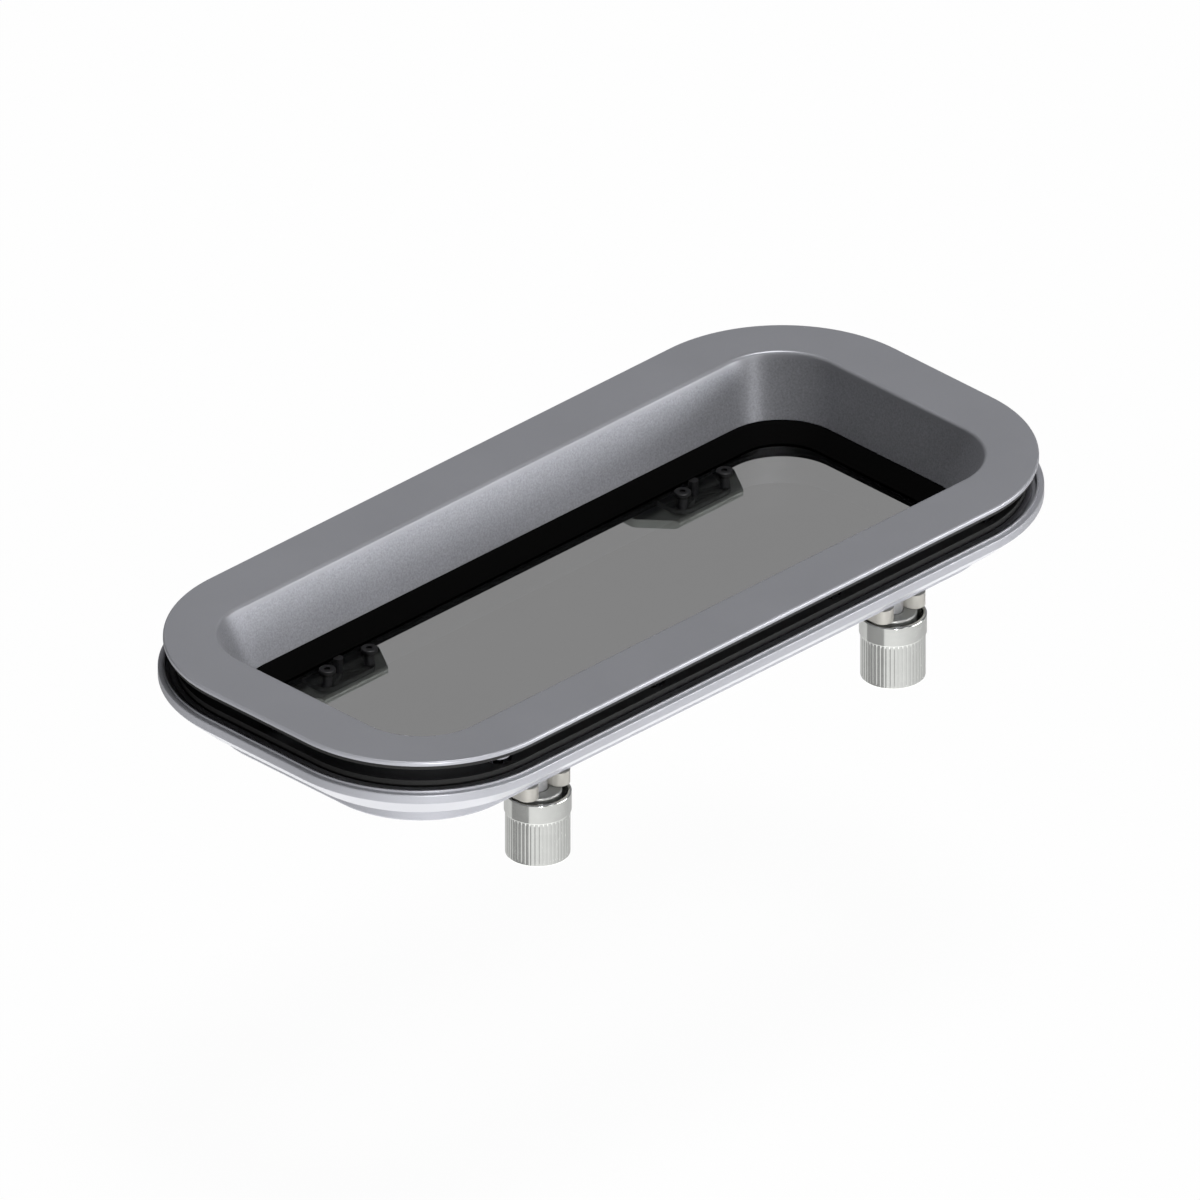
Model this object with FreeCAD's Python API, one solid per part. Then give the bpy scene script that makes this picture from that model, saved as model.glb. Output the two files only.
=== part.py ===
import FreeCAD, Part
import math
import os

os.makedirs("parts", exist_ok=True)
V = FreeCAD.Vector

# Every outline is a rounded rectangle: half length, half width, corner radius.
# The origin is on the outer face of the wall, and Z points out of the wall.


# Outline stepped out from another one by its own amounts, or in where they are negative
def stepped(shape, dx, dy, dr):
    return (shape[0] + dx, shape[1] + dy, shape[2] + dr)


# Outer frame with its flange and its tapered recess
SPIGOT = (168.2, 70.4, 34.4)
FLANGE = stepped(SPIGOT, 18.2, 17.45, 26.9)
RECESS_TOP = stepped(SPIGOT, -6.7, -6.7, -6.7)
RECESS_BOTTOM = stepped(RECESS_TOP, -7.7, -7.9, -1.5)
GASKET_T = 1.9
FLANGE_T = 1.9
TOP_Z = GASKET_T + FLANGE_T
FRAME_Z = -20.7
FLANGE_FILLET = 0.8
RECESS_FILLET = 1.5
BOSS_R = 4.8
BOSS_Z = -6.0
SOLID_GAP = 0.6

# Clamp ring on the inner face of the wall
RING = stepped(FLANGE, 1.9, 1.85, 1.6)
RING_BORE = stepped(SPIGOT, 0.6, 0.6, 0.6)
RING_TOP_Z = -9.8
RING_EDGE_Z = -13.5
RING_Z = -23.3
RING_CHAMFER = 10.6
RING_LIP = 2.9
RING_GROOVE = 1.7
RING_GROOVE_D = 2.0
RING_GASKET_IN = 6.5
RING_GASKET_T = 3.0

# Clamp screws as (x, y) pairs, just outside the spigot
SCREW_OUT = 4.6
SCREW_Y = SPIGOT[1] + SCREW_OUT
SCREW_END_X = SPIGOT[0] + SCREW_OUT
SCREW_NEAR_X = 0.285 * SPIGOT[0]
SCREW_FAR_X = SPIGOT[0] - SPIGOT[2] - 2.8
SCREW_XY = [(x * t, s * SCREW_Y) for x in (SCREW_NEAR_X, SCREW_FAR_X) for t in (-1, 1) for s in (-1, 1)]
SCREW_XY += [(-SCREW_END_X, 0.0), (SCREW_END_X, 0.0)]
SCREW_R = 2.0
SCREW_HEAD_R = 3.7
SCREW_HEAD_T = 2.6
SCREW_TIP_Z = -0.4
TIP_GAP = 0.2
DEEP = 60.0

# Lip seal under the frame
SEAL_CLEAR = stepped(RECESS_BOTTOM, -9.2, -9.6, -6.2)
SEAL_STEP = stepped(SEAL_CLEAR, 8.0, 8.4, 6.0)
SEAL_BASE = stepped(SEAL_STEP, 5.4, 5.4, 4.0)
SEAL_LIP_Z = -24.9
SEAL_LOW_Z = -25.2
SEAL_STEP_Z = -23.7
SEAL_NOTCH_Y = 13.4 - SPIGOT[1]

# Sash ring, pane and the glazing between them
SASH = stepped(SPIGOT, -1.3, -2.0, 7.3)
SASH_TOP_Z = -24.0
SASH_Z = -33.5
PANE = stepped(SASH, -13.3, -13.4, -12.7)
PANE_TOP_Z = -25.5
PANE_Z = -31.5
GLAZING_T = 0.6
LEDGE_BORE = stepped(PANE, -3.6, -3.5, -3.5)

# Clamps and hinges share their stations along the length
STATION_X = 96.6
CLAMP_Y = 8.2 - SPIGOT[1]
STUD_R = 4.0
FIT = 0.05
FORK_Z = -39.2
PRONG_R = 4.3
PRONG_DX = 8.6
PRONG_Y = CLAMP_Y - 3.0
FORK_BACK_Y = CLAMP_Y + 9.8

# Knob with its cup, collar and flutes
KNOB_COLLAR_R = 13.1
KNOB_R = 12.6
KNOB_TOP_Z = -40.5
KNOB_COLLAR_H = 8.2
KNOB_Z = -67.9
CUP_R = 11.6
CUP_D = 8.0
SLEEVE_R = 9.35
SLEEVE_TOP_Z = -39.5
STUD_Z = -60.0
FLUTES = 46
FLUTE_D = 0.45

# Hook on the top of each stud, with its keeper in the frame
KEEPER_T = 2.2
HOOK_R = 2.6
HOOK_REACH = 2.6
HOOK_Z = -18.2
HOOK_T = 3.0
HOOK_GAP = 0.6
HOOK_FRONT_GAP = 0.8
NECK_R = 1.8
CLIP_R = 4.8
CLIP_T = 0.8

# Hinges
HINGE_Y = SPIGOT[1] + 5.6
HINGE_Z = -31.5
KNUCKLE_R = 4.0
PIN_R = 2.0
PIN_HEAD_R = 3.0
PIN_HEAD_T = 1.2
LEAF_NEAR_Y = SPIGOT[1] - 34.0
LEAF_NEAR_HALF = 17.3
LEAF_HALF = 29.0
LEAF_SHORT_HALF = 25.8
LEAF_SHOULDER_Y = LEAF_NEAR_Y + 13.8
LEAF_CORNER_R = 5.0
LEAF_EDGE_R = 1.7
LEAF_FAR_Y = HINGE_Y - 4.8
LEAF_Z = -37.2
LEAF_KNUCKLE = 9.6
BRACKET_KNUCKLE = 9.0
KNUCKLE_GAP = 0.4
BRACKET_BASE_T = 2.0
BRACKET_CORNER_R = 2.5
BOLT_DX = 11.4
BOLT_Y = LEAF_NEAR_Y + 4.4
BOLT_BACK_Y = LEAF_NEAR_Y + 9.0
BOLT_R = 2.0
BOLT_HEAD_R = 3.3
BOLT_HEAD_T = 1.2

# Keeper plate
KEEPER_HALF = 14.9
KEEPER_RIM = 1.0
KEEPER_SCREW_DX = 11.0
KEEPER_SCREW_R = 1.25
KEEPER_SCREW_TIP_Z = -13.4

# Small screws of the hinges and the forks
SMALL_R = 1.6
SMALL_HEAD_R = 3.0
SMALL_HEAD_T = 1.8
BRACKET_SCREW_IN = 4.6
BRACKET_Y0 = HINGE_Y - 4.6
BRACKET_Y1 = HINGE_Y + 3.0
BRACKET_TIP_Z = -14.5
LEAF_SCREW_IN = 7.0
LEAF_SCREW_Y = HINGE_Y - 14.0
SASH_TIP_Z = -27.2
FORK_SCREW_DX = 9.0
FORK_SCREW_BACK = 6.8
FORK_SCREW_R = 1.5
SPACER_Y0 = LEAF_NEAR_Y + 1.2
SPACER_Y1 = PANE[1] - 3.8
SPACER_HALF = 15.0
SPACER_R = 6.0


# Wire of a rounded rectangle at one height
def outline(shape, z, grow=0.0):
    hx, hy, r = (value + grow for value in shape)
    cx, cy = hx - r, hy - r
    k = r * math.sqrt(0.5)
    edges = []
    corners = [(cx, cy, 0), (-cx, cy, 90), (-cx, -cy, 180), (cx, -cy, 270)]
    for i, (x, y, turn) in enumerate(corners):
        a = math.radians(turn)
        ca, sa = math.cos(a), math.sin(a)
        start = V(x + r * ca, y + r * sa, z)
        middle = V(x + k * (ca - sa), y + k * (ca + sa), z)
        end = V(x - r * sa, y + r * ca, z)
        edges.append(Part.Arc(start, middle, end).toShape())
        nx, ny, _ = corners[(i + 1) % 4]
        follow = V(nx - r * sa, ny + r * ca, z)
        edges.append(Part.makeLine(end, follow))
    return Part.Wire(edges)


# Straight plate with a rounded outline
def plate(shape, z0, z1, grow=0.0):
    return Part.Face(outline(shape, z0, grow)).extrude(V(0, 0, z1 - z0))


# Solid whose sides run straight from one outline to another
def taper(low, z0, high, z1):
    return Part.makeLoft([outline(low, z0), outline(high, z1)], True, True)


# The same outline moved inward
def inset(shape, d):
    return tuple(value - d for value in shape)


# Upright cylinder between two heights
def rod(x, y, r, z0, z1):
    return Part.makeCylinder(r, z1 - z0, V(x, y, z0))


# Box between two corners
def block(x0, x1, y0, y1, z0, z1):
    return Part.makeBox(x1 - x0, y1 - y0, z1 - z0, V(x0, y0, z0))


# Cylinder lying along X
def bar(x0, x1, y, z, r):
    return Part.makeCylinder(r, x1 - x0, V(x0, y, z), V(1, 0, 0))


# Upright prism over a polygon
def prism(points, z0, z1):
    corners = [V(x, y, z0) for x, y in points]
    wire = Part.makePolygon(corners + corners[:1])
    return Part.Face(wire).extrude(V(0, 0, z1 - z0))


# Join several solids into one
def join(shapes):
    shapes = list(shapes)
    return shapes[0].multiFuse(shapes[1:]).removeSplitter()


# Take several solids away from one
def carve(shape, tools):
    return shape.cut(Part.makeCompound(list(tools)))


# Round the edges that a test picks
def round_edges(shape, r, picked):
    return shape.makeFillet(r, [e for e in shape.Edges if picked(e.BoundBox)])


# Hexagonal socket for a key
def hex_socket(x, y, across, z0, z1):
    r = across / math.sqrt(3)
    points = []
    for i in range(6):
        a = math.radians(60 * i)
        points.append((x + r * math.cos(a), y + r * math.sin(a)))
    return prism(points, z0, z1)


# Screw that is driven from below, head under the given height
def screw(x, y, r, tip_z, seat_z, head_r, head_t):
    shank = rod(x, y, r, seat_z, tip_z)
    head = rod(x, y, head_r, seat_z - head_t, seat_z)
    socket = hex_socket(x, y, head_r * 0.9, seat_z - head_t, seat_z - 0.35 * head_t)
    return join([shank, head]).cut(socket)


# Write one piece
def save(name, shape):
    shape.exportStep("parts/" + name + ".step")


# Outer frame: flange and spigot, bosses, fillets, then the tapered recess
frame = join([plate(FLANGE, GASKET_T, TOP_Z), plate(SPIGOT, FRAME_Z, GASKET_T)])
recess = taper(RECESS_BOTTOM, FRAME_Z, RECESS_TOP, TOP_Z)
frame = frame.cut(recess)


def reach_x(b):
    """The larger distance in X from the middle of the part."""
    return max(abs(b.XMin), abs(b.XMax))


def reach_y(b):
    """The larger distance in Y from the middle of the part."""
    return max(abs(b.YMin), abs(b.YMax))


def flange_rim(b):
    """Whether an edge lies on the outline of the flange's top face."""
    return b.ZMin > TOP_Z - 0.01 and (reach_x(b) > FLANGE[0] - 0.1 or reach_y(b) > FLANGE[1] - 0.1)


def recess_rim(b):
    """Whether an edge lies on the outline of the recess in the top face."""
    return b.ZMin > TOP_Z - 0.01 and reach_x(b) < RECESS_TOP[0] + 0.1 and reach_y(b) < RECESS_TOP[1] + 0.1


frame = round_edges(frame, FLANGE_FILLET, flange_rim)
frame = round_edges(frame, RECESS_FILLET, recess_rim)
bosses = []
for x, y in SCREW_XY:
    bosses.append(rod(x, y, BOSS_R, BOSS_Z, GASKET_T))
    if y == 0.0:
        side = math.copysign(1, x)
        x0, x1 = sorted((x, side * (SPIGOT[0] - 1)))
        bosses.append(block(x0, x1, -BOSS_R, BOSS_R, BOSS_Z, GASKET_T))
    else:
        side = math.copysign(1, y)
        y0, y1 = sorted((y, side * (SPIGOT[1] - 1)))
        bosses.append(block(x - BOSS_R, x + BOSS_R, y0, y1, BOSS_Z, GASKET_T))
frame = join([frame] + bosses)
cuts = [rod(x, y, SCREW_R, BOSS_Z - 1, SCREW_TIP_Z + 2 * TIP_GAP) for x, y in SCREW_XY]

# Keepers, their pockets and the room in which the hooks turn
keeper_z = FRAME_Z + KEEPER_T
reach = HOOK_R + HOOK_REACH
slot_y = CLAMP_Y - reach - HOOK_FRONT_GAP
room_top = HOOK_Z + HOOK_T + 0.3
keeper_screw_y = CLAMP_Y - 1.4
keeper_hole_z = KEEPER_SCREW_TIP_Z + TIP_GAP
for side, word in ((-1, "left"), (1, "right")):
    x = side * STATION_X
    back_y = CLAMP_Y + HOOK_R + HOOK_GAP
    pocket = KEEPER_HALF + 0.1
    rim = KEEPER_RIM + 0.1
    cuts.append(block(x - pocket, x + pocket, slot_y - rim, back_y + rim, FRAME_Z - 1, keeper_z))
    room = block(x - HOOK_R - HOOK_GAP, x + reach + 0.8, slot_y, back_y, FRAME_Z, room_top)
    cuts.append(room)
    keeper = block(
        x - KEEPER_HALF, x + KEEPER_HALF, slot_y - KEEPER_RIM, back_y + KEEPER_RIM, FRAME_Z, keeper_z)
    slot = join([
        rod(x, CLAMP_Y, HOOK_R + HOOK_GAP, FRAME_Z, keeper_z),
        block(x - HOOK_R - HOOK_GAP, x + HOOK_R + HOOK_GAP, slot_y, CLAMP_Y, FRAME_Z, keeper_z)])
    screws = []
    for dx in (-KEEPER_SCREW_DX, KEEPER_SCREW_DX):
        seat = V(x + dx, keeper_screw_y, FRAME_Z)
        cone = Part.makeCone(2 * KEEPER_SCREW_R, KEEPER_SCREW_R, KEEPER_SCREW_R, seat)
        shank = rod(x + dx, keeper_screw_y, KEEPER_SCREW_R, FRAME_Z, KEEPER_SCREW_TIP_Z)
        drive = hex_socket(x + dx, keeper_screw_y, 1.2 * KEEPER_SCREW_R, FRAME_Z, FRAME_Z + 0.9)
        screws.append(join([cone, shank]).cut(drive))
        slot = slot.fuse(join([cone, shank]))
        cuts.append(rod(x + dx, keeper_screw_y, KEEPER_SCREW_R, FRAME_Z, keeper_hole_z))
    save("keeper_" + word, keeper.cut(slot))
    save("keeper_screws_" + word, Part.makeCompound(screws))
frame = carve(frame, cuts)
save("outer_frame", frame)

# Gaskets on both sides of the wall
boss_keepout = [rod(x, y, BOSS_R + SOLID_GAP, -DEEP, DEEP) for x, y in SCREW_XY]
for x, y in SCREW_XY:
    if y:
        y0, y1 = sorted((y, math.copysign(SPIGOT[1] - 1, y)))
        boss_keepout.append(block(x - BOSS_R - SOLID_GAP, x + BOSS_R + SOLID_GAP, y0, y1, -DEEP, DEEP))
    else:
        x0, x1 = sorted((x, math.copysign(SPIGOT[0] - 1, x)))
        boss_keepout.append(block(x0, x1, -BOSS_R - SOLID_GAP, BOSS_R + SOLID_GAP, -DEEP, DEEP))
flange_gasket = plate(FLANGE, 0.0, GASKET_T, -0.7).cut(plate(SPIGOT, 0.0, GASKET_T, 0.4))
save("flange_gasket", carve(flange_gasket, boss_keepout))
ring_gasket_top = RING_TOP_Z + RING_GASKET_T
ring_gasket = plate(inset(RING, RING_GASKET_IN), RING_TOP_Z, ring_gasket_top)
ring_gasket = ring_gasket.cut(plate(SPIGOT, RING_TOP_Z, ring_gasket_top, 0.4))
save("ring_gasket", carve(ring_gasket, boss_keepout))

# Clamp ring: outer wall, chamfer, bore, groove beside the lip
ring = join([
    plate(RING, RING_EDGE_Z, RING_TOP_Z),
    taper(inset(RING, RING_CHAMFER), RING_Z, RING, RING_EDGE_Z)])
groove_z = RING_TOP_Z - RING_GROOVE_D
groove = plate(inset(RING, RING_LIP), groove_z, RING_TOP_Z + 1)
groove = groove.cut(plate(inset(RING, RING_LIP + RING_GROOVE), groove_z, RING_TOP_Z + 1))
ring_cuts = [plate(RING_BORE, RING_Z - 1, RING_TOP_Z + 1), groove]
ring_cuts += [rod(x, y, SCREW_R + 0.25, RING_Z - 1, RING_TOP_Z + 1) for x, y in SCREW_XY]
clamp_screws = [screw(x, y, SCREW_R, SCREW_TIP_Z, RING_Z, SCREW_HEAD_R, SCREW_HEAD_T) for x, y in SCREW_XY]
save("clamp_screws", Part.makeCompound(clamp_screws))

# Lip seal: two steps outside, one slope inside, notches beside the keepers
seal = join([plate(SEAL_BASE, SEAL_STEP_Z, FRAME_Z), plate(SEAL_STEP, SEAL_LOW_Z, SEAL_STEP_Z)])
seal_cuts = [
    taper(SEAL_CLEAR, SEAL_LIP_Z, RECESS_BOTTOM, FRAME_Z),
    plate(SEAL_CLEAR, SEAL_LOW_Z - 1, SEAL_LIP_Z)]
for side in (-1, 1):
    x = side * STATION_X
    notch = KEEPER_HALF + 1.6
    seal_cuts.append(block(x - notch, x + notch, SEAL_NOTCH_Y - DEEP, SEAL_NOTCH_Y, -DEEP, 0))
save("lip_seal", carve(seal, seal_cuts))

# Hinge brackets, pins and their screws on the frame side
sash_cuts = [
    plate(PANE, PANE_Z - GLAZING_T, SASH_TOP_Z + 1, GLAZING_T),
    plate(LEDGE_BORE, SASH_Z - 1, SASH_TOP_Z + 1)]
pane = plate(PANE, PANE_Z, PANE_TOP_Z)
base_z = RING_Z - BRACKET_BASE_T
for side, word in ((-1, "left"), (1, "right")):
    x = side * STATION_X
    k0 = LEAF_KNUCKLE + KNUCKLE_GAP
    k1 = k0 + BRACKET_KNUCKLE
    base = block(x - LEAF_HALF, x + LEAF_HALF, BRACKET_Y0, BRACKET_Y1, base_z, RING_Z)
    base = round_edges(base, BRACKET_CORNER_R, lambda b: b.ZLength > 1 and b.XLength < 0.1 and b.YLength < 0.1)
    posts = [base]
    for s in (-1, 1):
        a, b = sorted((x + s * k0, x + s * k1))
        posts.append(bar(a, b, HINGE_Y, HINGE_Z, KNUCKLE_R))
        posts.append(block(a, b, HINGE_Y - KNUCKLE_R, BRACKET_Y1, HINGE_Z, base_z))
    bracket = join(posts)
    holes = [bar(x - LEAF_HALF - 1, x + LEAF_HALF + 1, HINGE_Y, HINGE_Z, PIN_R)]
    screw_y = (BRACKET_Y0 + BRACKET_Y1) / 2
    screws = []
    for s in (-1, 1):
        sx = x + s * (LEAF_HALF - BRACKET_SCREW_IN)
        screws.append(screw(sx, screw_y, SMALL_R, BRACKET_TIP_Z, base_z, SMALL_HEAD_R, SMALL_HEAD_T))
        holes.append(rod(sx, screw_y, SMALL_R + 0.1, base_z - 1, RING_Z + 1))
        ring_cuts.append(rod(sx, screw_y, SMALL_R, RING_Z - 1, BRACKET_TIP_Z + TIP_GAP))
    save("hinge_bracket_" + word, carve(bracket, holes))
    save("bracket_screws_" + word, Part.makeCompound(screws))
    pin = bar(x - k1, x + k1, HINGE_Y, HINGE_Z, PIN_R)
    heads = []
    for a, b in ((-k1 - PIN_HEAD_T, -k1), (k1, k1 + PIN_HEAD_T)):
        heads.append(bar(x + a, x + b, HINGE_Y, HINGE_Z, PIN_HEAD_R))
    save("hinge_pin_" + word, join([pin] + heads))

    # Leaf on the sash: plate that widens from its near edge, with one knuckle
    plan = [
        (x - LEAF_NEAR_HALF, LEAF_NEAR_Y), (x + LEAF_NEAR_HALF, LEAF_NEAR_Y),
        (x + LEAF_SHORT_HALF, LEAF_SHOULDER_Y), (x + LEAF_SHORT_HALF, LEAF_FAR_Y),
        (x - LEAF_HALF, LEAF_FAR_Y), (x - LEAF_HALF, LEAF_SHOULDER_Y)]
    leaf = prism(plan, LEAF_Z, SASH_Z)
    shoulder = lambda b: b.ZLength > 1 and b.YLength < 0.1 and abs(b.YMin - LEAF_SHOULDER_Y) < 1
    leaf = round_edges(leaf, LEAF_CORNER_R, shoulder)
    leaf = round_edges(leaf, LEAF_EDGE_R, lambda b: b.YMax < LEAF_NEAR_Y + 0.1 and b.XLength > 5)
    tongue = block(x - LEAF_KNUCKLE, x + LEAF_KNUCKLE, LEAF_FAR_Y - 1, HINGE_Y, LEAF_Z, SASH_Z)
    barrel = bar(x - LEAF_KNUCKLE, x + LEAF_KNUCKLE, HINGE_Y, HINGE_Z, KNUCKLE_R)
    web = block(x - LEAF_KNUCKLE, x + LEAF_KNUCKLE, HINGE_Y, HINGE_Y + 2.2, LEAF_Z + 2.5, HINGE_Z)
    leaf = join([leaf, tongue, barrel, web])
    leaf_cuts = [bar(x - LEAF_HALF - 1, x + LEAF_HALF + 1, HINGE_Y, HINGE_Z, PIN_R + FIT)]

    # Spacer, bolts threaded into the leaf, and screws up into the sash ring
    spacer = block(x - SPACER_HALF, x + SPACER_HALF, SPACER_Y0, SPACER_Y1, SASH_Z, PANE_Z)
    spacer = round_edges(spacer, SPACER_R, lambda b: b.YMax < SPACER_Y0 + 0.1 and b.ZLength > 1)
    bolt_holes = []
    bolts = []
    for bx in (x - BOLT_DX, x + BOLT_DX):
        bolt_holes.append(rod(bx, BOLT_Y, BOLT_R, -DEEP, -DEEP / 3))
        head = rod(bx, BOLT_Y, BOLT_HEAD_R, PANE_TOP_Z, PANE_TOP_Z + BOLT_HEAD_T)
        head = round_edges(head, 0.5, lambda b: b.ZMin > PANE_TOP_Z + 1)
        drive = hex_socket(bx, BOLT_Y, 1.2 * BOLT_R, PANE_TOP_Z + 0.3, PANE_TOP_Z + BOLT_HEAD_T)
        bolts.append(join([head, rod(bx, BOLT_Y, BOLT_R, LEAF_Z, PANE_TOP_Z)]).cut(drive))
    bolt_holes.append(rod(x - 1, BOLT_BACK_Y, BOLT_R, -DEEP, -DEEP / 3))
    bolts.append(rod(x - 1, BOLT_BACK_Y, BOLT_R, LEAF_Z, PANE_TOP_Z))
    pane = carve(pane, bolt_holes)
    save("hinge_spacer_" + word, carve(spacer, bolt_holes))
    save("hinge_bolts_" + word, Part.makeCompound(bolts))
    screws = []
    for s in (-1, 1):
        sx = x + s * (LEAF_HALF - LEAF_SCREW_IN)
        screws.append(screw(sx, LEAF_SCREW_Y, SMALL_R, SASH_TIP_Z, LEAF_Z, SMALL_HEAD_R, SMALL_HEAD_T))
        leaf_cuts.append(rod(sx, LEAF_SCREW_Y, SMALL_R + 0.1, LEAF_Z - 1, SASH_Z + 1))
        sash_cuts.append(rod(sx, LEAF_SCREW_Y, SMALL_R, SASH_Z - 1, SASH_TIP_Z + TIP_GAP))
    save("hinge_leaf_" + word, carve(leaf, leaf_cuts + bolt_holes))
    save("leaf_screws_" + word, Part.makeCompound(screws))

    # Fork that takes the pull of the knob
    fork = join([
        rod(x - PRONG_DX, PRONG_Y, PRONG_R, FORK_Z, SASH_Z),
        rod(x + PRONG_DX, PRONG_Y, PRONG_R, FORK_Z, SASH_Z),
        block(x - PRONG_DX - PRONG_R, x - PRONG_DX + PRONG_R, PRONG_Y, FORK_BACK_Y, FORK_Z, SASH_Z),
        block(x + PRONG_DX - PRONG_R, x + PRONG_DX + PRONG_R, PRONG_Y, FORK_BACK_Y, FORK_Z, SASH_Z),
        block(x - PRONG_DX, x + PRONG_DX, CLAMP_Y, FORK_BACK_Y, FORK_Z, SASH_Z)])
    fork_cuts = [rod(x, CLAMP_Y, PRONG_DX - PRONG_R, FORK_Z - 1, SASH_Z + 1)]
    screws = []
    for s in (-1, 1):
        sx = x + s * FORK_SCREW_DX
        sy = FORK_BACK_Y - FORK_SCREW_BACK
        cone = Part.makeCone(1.9 * FORK_SCREW_R, FORK_SCREW_R, FORK_SCREW_R, V(sx, sy, FORK_Z))
        body = join([cone, rod(sx, sy, FORK_SCREW_R, FORK_Z, SASH_TIP_Z)])
        screws.append(body.cut(hex_socket(sx, sy, 1.2 * FORK_SCREW_R, FORK_Z, FORK_Z + 1.1)))
        fork_cuts.append(body)
        sash_cuts.append(rod(sx, sy, FORK_SCREW_R, SASH_Z - 1, SASH_TIP_Z + TIP_GAP))
    save("fork_" + word, carve(fork, fork_cuts))
    save("fork_screws_" + word, Part.makeCompound(screws))
    sash_cuts.append(rod(x, CLAMP_Y, STUD_R + FIT, SASH_Z - 1, SASH_TOP_Z + 1))

    # Stud with its neck, the hook on top and the clip that holds it up
    shoulder_z = SASH_TOP_Z + 1.2
    stud = join([
        rod(x, CLAMP_Y, STUD_R, STUD_Z, shoulder_z),
        rod(x, CLAMP_Y, NECK_R, shoulder_z, HOOK_Z + HOOK_T)])
    clip_z = SASH_TOP_Z + 0.15
    groove_r = STUD_R - 0.6
    clip = rod(x, CLAMP_Y, CLIP_R, clip_z, clip_z + CLIP_T)
    clip = clip.cut(rod(x, CLAMP_Y, groove_r, clip_z, clip_z + CLIP_T))
    clip = clip.cut(block(x - 1.8, x + 1.8, CLAMP_Y - 6, CLAMP_Y, clip_z, clip_z + CLIP_T))
    neck_ring = rod(x, CLAMP_Y, STUD_R + 1, clip_z, clip_z + CLIP_T).cut(
        rod(x, CLAMP_Y, groove_r, clip_z, clip_z + CLIP_T))
    save("knob_stud_" + word, stud.cut(neck_ring))
    save("stud_clip_" + word, clip)
    hook = join([
        rod(x, CLAMP_Y, HOOK_R, HOOK_Z, HOOK_Z + HOOK_T),
        rod(x, CLAMP_Y - HOOK_REACH, HOOK_R, HOOK_Z, HOOK_Z + HOOK_T),
        block(x - HOOK_R, x + HOOK_R, CLAMP_Y - HOOK_REACH, CLAMP_Y, HOOK_Z, HOOK_Z + HOOK_T)])
    save("latch_hook_" + word, hook.cut(rod(x, CLAMP_Y, NECK_R, HOOK_Z, HOOK_Z + HOOK_T)))

    # Thrust sleeve and the fluted knob around it
    bore_r = STUD_R + FIT
    cup_z = KNOB_TOP_Z - CUP_D
    sleeve = rod(x, CLAMP_Y, SLEEVE_R, cup_z + 0.1, SLEEVE_TOP_Z)
    sleeve = round_edges(sleeve, 0.5, lambda b: b.ZMin > SLEEVE_TOP_Z - 0.01)
    save("thrust_sleeve_" + word, sleeve.cut(rod(x, CLAMP_Y, bore_r, cup_z, SLEEVE_TOP_Z)))
    collar_z = KNOB_TOP_Z - KNOB_COLLAR_H
    grip = []
    for i in range(2 * FLUTES):
        a = math.pi * i / FLUTES
        r = KNOB_R - FLUTE_D * (i % 2)
        grip.append((x + r * math.cos(a), CLAMP_Y + r * math.sin(a)))
    collar = rod(x, CLAMP_Y, KNOB_COLLAR_R, collar_z, KNOB_TOP_Z)
    collar = round_edges(collar, 0.5, lambda b: b.ZMin > KNOB_TOP_Z - 0.1)
    knob = prism(grip, KNOB_Z, collar_z + 1).fuse(collar)
    cup = rod(x, CLAMP_Y, CUP_R, cup_z, KNOB_TOP_Z + 1)
    thread = rod(x, CLAMP_Y, bore_r, STUD_Z - 1, cup_z + 1)
    save("knob_" + word, carve(knob, [cup, thread]))

save("clamp_ring", carve(ring, ring_cuts))

# Sash ring, then pane and glazing
sash = round_edges(plate(SASH, SASH_Z, SASH_TOP_Z), 0.8, lambda b: b.ZLength < 0.01)
save("sash_ring", carve(sash, sash_cuts))
save("pane", pane)
glazing = plate(PANE, PANE_Z - GLAZING_T, PANE_TOP_Z, GLAZING_T)
glazing = carve(glazing, [plate(PANE, PANE_Z, PANE_TOP_Z), plate(LEDGE_BORE, PANE_Z - 2, PANE_TOP_Z)])
save("glazing", glazing)
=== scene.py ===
"""A rectangular opening porthole: its rings, pane, hinges and knobs, finished for the picture.

Lengths in this file are millimetres unless a name says metres. Every new piece is a
surface on a grid of two parameters, computed as whole arrays.
"""

import math

import bmesh
import bpy
import numpy as np
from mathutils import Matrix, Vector


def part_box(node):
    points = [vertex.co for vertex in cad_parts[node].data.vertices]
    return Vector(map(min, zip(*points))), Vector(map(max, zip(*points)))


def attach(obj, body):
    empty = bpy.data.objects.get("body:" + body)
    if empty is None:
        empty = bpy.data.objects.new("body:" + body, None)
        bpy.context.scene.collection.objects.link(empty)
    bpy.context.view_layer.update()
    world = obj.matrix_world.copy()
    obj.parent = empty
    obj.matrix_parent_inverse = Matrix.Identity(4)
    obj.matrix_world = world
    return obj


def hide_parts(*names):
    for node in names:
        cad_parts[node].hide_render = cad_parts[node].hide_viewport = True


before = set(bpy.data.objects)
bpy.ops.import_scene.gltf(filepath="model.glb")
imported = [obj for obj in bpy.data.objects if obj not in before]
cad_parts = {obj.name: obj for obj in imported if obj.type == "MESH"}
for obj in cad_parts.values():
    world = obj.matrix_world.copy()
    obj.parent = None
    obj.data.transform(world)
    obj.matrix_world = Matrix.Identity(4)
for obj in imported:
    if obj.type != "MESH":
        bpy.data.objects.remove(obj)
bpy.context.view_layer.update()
MM = 0.001


def stepped(shape, dx, dy, dr):
    """Outline stepped out from another: its half length, half width and corner radius with these added."""
    return (shape[0] + dx, shape[1] + dy, shape[2] + dr)


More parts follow.
